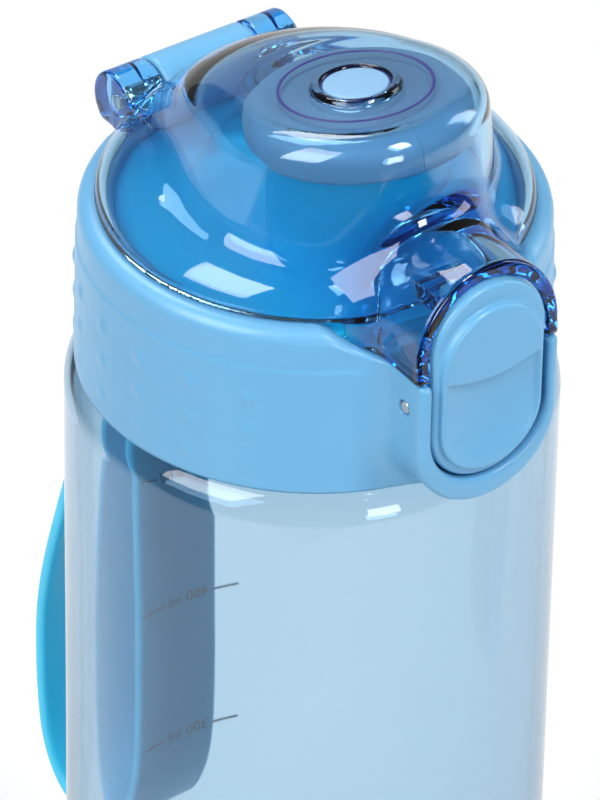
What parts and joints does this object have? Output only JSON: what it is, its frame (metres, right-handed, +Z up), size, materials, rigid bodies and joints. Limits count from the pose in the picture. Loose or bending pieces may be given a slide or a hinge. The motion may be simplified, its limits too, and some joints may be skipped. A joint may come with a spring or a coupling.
{
  "type": "flip-lid drinking bottle",
  "caption": "Clear bottle with a screw cap, hinged flip lid with a push-button latch over a drinking spout, and a soft hanging carry loop.",
  "frame": {"origin": "centre of the base, on the surface it stands on", "axes": "+Z up along the bottle, -Y to the button, +Y to the lid's hinge and the carry loop"},
  "size_m": [0.073, 0.1084, 0.2353],
  "materials": {
    "clear_bottle": "clear polished plastic",
    "clear_lid": "clear tinted plastic",
    "blue_plastic": "satin",
    "teal_silicone": "soft satin",
    "plug_silicone": "soft satin",
    "white_silicone": "soft matte",
    "steel_pin": "drawn wire"
  },
  "bodies": {
    "bottle": {"bottle_body": "clear_bottle"},
    "strap_collar": {"strap_ring": "teal_silicone"},
    "carry_loop": {"strap_loop": "teal_silicone"},
    "gasket": {"neck_gasket": "white_silicone"},
    "cap": {"cap_collar": "blue_plastic", "inner_cap": "blue_plastic", "latch_pin": "steel_pin", "hinge_pin": "steel_pin", "hinge_spring": "steel_pin", "latch_spring": "steel_pin"},
    "lid": {"lid_cover": "clear_lid", "lid_plug": "plug_silicone"},
    "button": {"latch_button": "blue_plastic"}
  },
  "joints": [
    {"name": "strap_turn", "type": "hinge", "parent": "bottle", "child": "strap_collar", "pos_m": [0, 0, 0.1832], "axis": [0, 0, 1], "range_deg": [0, 450]},
    {"name": "strap_swing", "type": "hinge", "parent": "strap_collar", "child": "carry_loop", "pos_m": [0, 0.0386, 0.1788], "axis": [1, 0, 0], "range_deg": [0, 75]},
    {"name": "cap_lift", "type": "slide", "parent": "bottle", "child": "gasket", "axis": [0, 0, 1], "range_m": [0, 0.005]},
    {"name": "cap_turn", "type": "hinge", "parent": "gasket", "child": "cap", "pos_m": [0, 0, 0.209], "axis": [0, 0, 1], "range_deg": [0, 450]},
    {"name": "lid_open", "type": "hinge", "parent": "cap", "child": "lid", "pos_m": [0, 0.0298, 0.2129], "axis": [-1, 0, 0], "range_deg": [0, 140], "deforming": ["hinge_spring"]},
    {"name": "button_press", "type": "hinge", "parent": "cap", "child": "button", "pos_m": [0, -0.039, 0.1994], "axis": [1, 0, 0], "range_deg": [0, 7], "stiffness_Nm_per_rad": 0.08, "deforming": ["latch_spring"]}
  ],
  "couplings": [
    {"joint": "cap_lift", "follows": "cap_turn", "m_per_rad": 0.00063662},
    {"joint": "strap_turn", "follows": "cap_turn", "ratio": 1}
  ]
}
